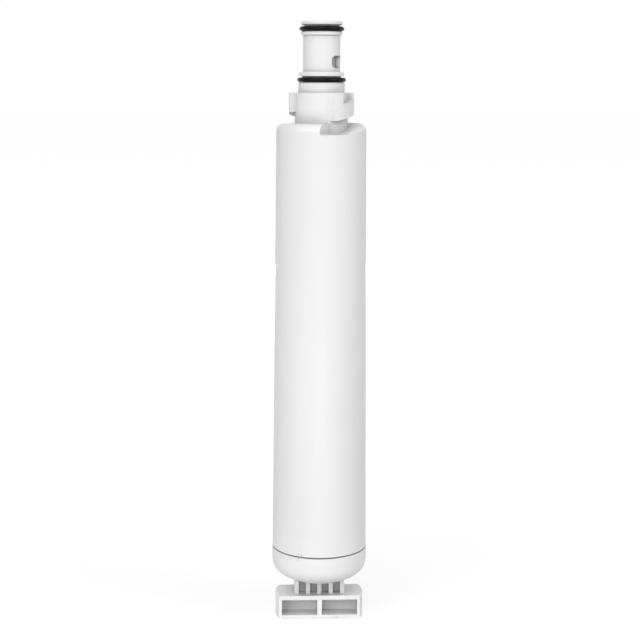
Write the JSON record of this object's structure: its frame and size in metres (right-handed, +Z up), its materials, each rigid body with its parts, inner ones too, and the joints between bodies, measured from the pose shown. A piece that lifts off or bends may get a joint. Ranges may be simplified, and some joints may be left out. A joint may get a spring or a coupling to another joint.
{
  "type": "refrigerator water filter cartridge",
  "caption": "Slim white moulded filter cartridge with a T-handle, quarter-turn bayonet lugs and a sealed neck, round a hollow carbon block that cleans the water of a refrigerator.",
  "frame": {"origin": "on the axis, at the underside of the T-handle that the cartridge stands on", "axes": "+Z up the cartridge's axis to the outlet tip, X along the T-handle, -Y to the front"},
  "size_m": [0.0494, 0.0494, 0.31],
  "materials": {
    "white_plastic": "fine satin moulding",
    "seal_rubber": "smooth, slightly greased",
    "element_plastic": "plain moulding",
    "carbon": "bonded carbon, porous",
    "fleece": "non-woven fleece"
  },
  "bodies": {
    "root": {"housing": "white_plastic", "end_cap": "white_plastic", "outlet_o_ring": "seal_rubber", "inlet_o_ring": "seal_rubber", "spigot_o_ring": "seal_rubber", "element_top_cap": "element_plastic", "element_bottom_cap": "element_plastic", "carbon_block": "carbon", "prefilter_wrap": "fleece"}
  },
  "joints": []
}
